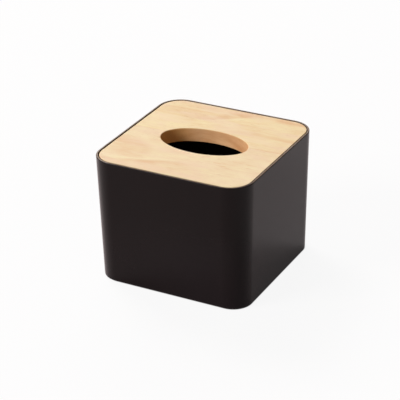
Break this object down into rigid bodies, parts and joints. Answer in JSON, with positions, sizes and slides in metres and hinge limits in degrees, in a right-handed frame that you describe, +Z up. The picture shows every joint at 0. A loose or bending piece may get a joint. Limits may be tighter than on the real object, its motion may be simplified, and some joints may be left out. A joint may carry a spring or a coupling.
{
  "type": "tissue box",
  "caption": "Square matte plastic tissue box with leaning walls and rounded corners, an inset lift-off wooden lid with an oval opening, and soft pads under its base.",
  "frame": {"origin": "middle of the plane that the pads rest on", "axes": "+Z up, out through the lid; X along the oval opening; -Y is the front"},
  "size_m": [0.135, 0.135, 0.1065],
  "materials": {
    "box_plastic": "fine matte texture",
    "lid_wood": "sanded, clear matte lacquer",
    "pad_rubber": "soft matte"
  },
  "bodies": {
    "box": {"body_shell": "box_plastic", "foot_pad_front_left": "pad_rubber", "foot_pad_front_right": "pad_rubber", "foot_pad_rear_left": "pad_rubber", "foot_pad_rear_right": "pad_rubber"},
    "lid": {"lid_stave_front": "lid_wood", "lid_stave_rear": "lid_wood"}
  },
  "joints": [
    {"name": "lid_lift", "type": "slide", "parent": "box", "child": "lid", "axis": [0, 0, 1], "range_m": [0, 0.12]}
  ]
}
